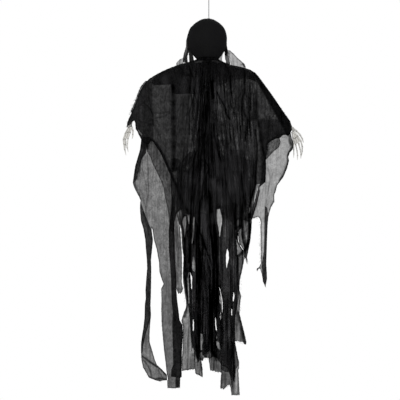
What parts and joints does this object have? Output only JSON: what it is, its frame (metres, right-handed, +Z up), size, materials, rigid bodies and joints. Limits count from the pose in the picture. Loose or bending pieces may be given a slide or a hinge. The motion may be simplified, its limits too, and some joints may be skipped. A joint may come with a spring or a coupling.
{
  "type": "hanging reaper figure",
  "caption": "Hanging reaper figure: hooded skull head on a short cord, wire shoulders, posable wire arms with skeleton hands, and layers of torn black gauze.",
  "frame": {"origin": "top of the cord loop that goes over a hook or nail", "axes": "+Z up, -Y towards the viewer of the picture (the figure's back), +X to the viewer's right; the skull looks along +Y"},
  "size_m": [0.7054, 0.1875, 1.6376],
  "materials": {
    "cord": "twisted dark grey twine",
    "steel": "plain drawn wire",
    "foam": "white foam",
    "bone": "moulded off-white plastic with brown wash in the recesses",
    "hood_cloth": "close black knit, matt",
    "gauze": "torn open-weave black gauze",
    "drape_gauze": "single thin layer of torn black gauze",
    "post": "black tube",
    "tie": "black cord"
  },
  "bodies": {
    "hanger": {"hang_loop": "cord", "hang_cord": "cord", "eye_knot": "cord"},
    "head": {"hanging_eye": "steel", "head_core": "foam", "head_cover": "hood_cloth", "skull_mask": "bone", "hood_strip_left_outer": "gauze", "hood_strip_left_inner": "gauze", "hood_strip_right": "gauze", "hood_flap_left": "gauze", "hood_flap_right": "gauze"},
    "torso": {"neck_post": "post", "neck_gather": "gauze", "neck_tie": "tie", "shoulder_wire": "steel", "yoke_back": "gauze", "yoke_front": "gauze", "cape_back": "gauze", "cape_front": "gauze", "tatter_left_outer": "gauze", "tatter_left_inner": "gauze", "robe_centre_left": "gauze", "robe_centre": "gauze", "flap_centre": "gauze", "panel_right_long": "gauze", "panel_right_outer": "gauze", "tatter_right": "gauze", "robe_front_left": "gauze", "robe_front_centre": "gauze", "robe_front_right": "gauze"},
    "left_arm": {"left_arm_wire": "steel", "left_sleeve": "gauze"},
    "right_arm": {"right_arm_wire": "steel", "right_sleeve": "gauze"},
    "left_hand": {"left_hand": "bone"},
    "right_hand": {"right_hand": "bone"},
    "left_drape": {"left_drape": "drape_gauze", "left_drape_tail": "drape_gauze"},
    "right_drape": {"right_drape": "drape_gauze"}
  },
  "joints": [
    {"name": "hang_swing", "type": "hinge", "parent": "hanger", "child": "head", "pos_m": [0, 0, -0.1404], "axis": [1, 0, 0], "range_deg": [-20, 20]},
    {"name": "neck_turn", "type": "hinge", "parent": "head", "child": "torso", "pos_m": [0, 0, -0.3024], "axis": [0, 0, 1], "range_deg": [-25, 25]},
    {"name": "left_shoulder", "type": "hinge", "parent": "torso", "child": "left_arm", "pos_m": [-0.2292, 0, -0.388], "axis": [0, 1, 0], "range_deg": [-10, 50]},
    {"name": "right_shoulder", "type": "hinge", "parent": "torso", "child": "right_arm", "pos_m": [0.1908, 0, -0.376], "axis": [0, -1, 0], "range_deg": [-10, 40]},
    {"name": "left_wrist", "type": "hinge", "parent": "left_arm", "child": "left_hand", "pos_m": [-0.3124, 0, -0.5552], "axis": [-0.1891, 0, -0.982], "range_deg": [-60, 60]},
    {"name": "right_wrist", "type": "hinge", "parent": "right_arm", "child": "right_hand", "pos_m": [0.33, 0, -0.5656], "axis": [0.5469, 0, -0.8372], "range_deg": [-60, 60]},
    {"name": "left_drape_plumb", "type": "hinge", "parent": "left_arm", "child": "left_drape", "pos_m": [-0.2408, 0, -0.624], "axis": [0, 1, 0], "range_deg": [-50, 10]},
    {"name": "right_drape_plumb", "type": "hinge", "parent": "right_arm", "child": "right_drape", "pos_m": [0.3032, 0, -0.604], "axis": [0, -1, 0], "range_deg": [-40, 10]}
  ],
  "couplings": [
    {"joint": "left_drape_plumb", "follows": "left_shoulder", "ratio": -1},
    {"joint": "right_drape_plumb", "follows": "right_shoulder", "ratio": -1}
  ]
}
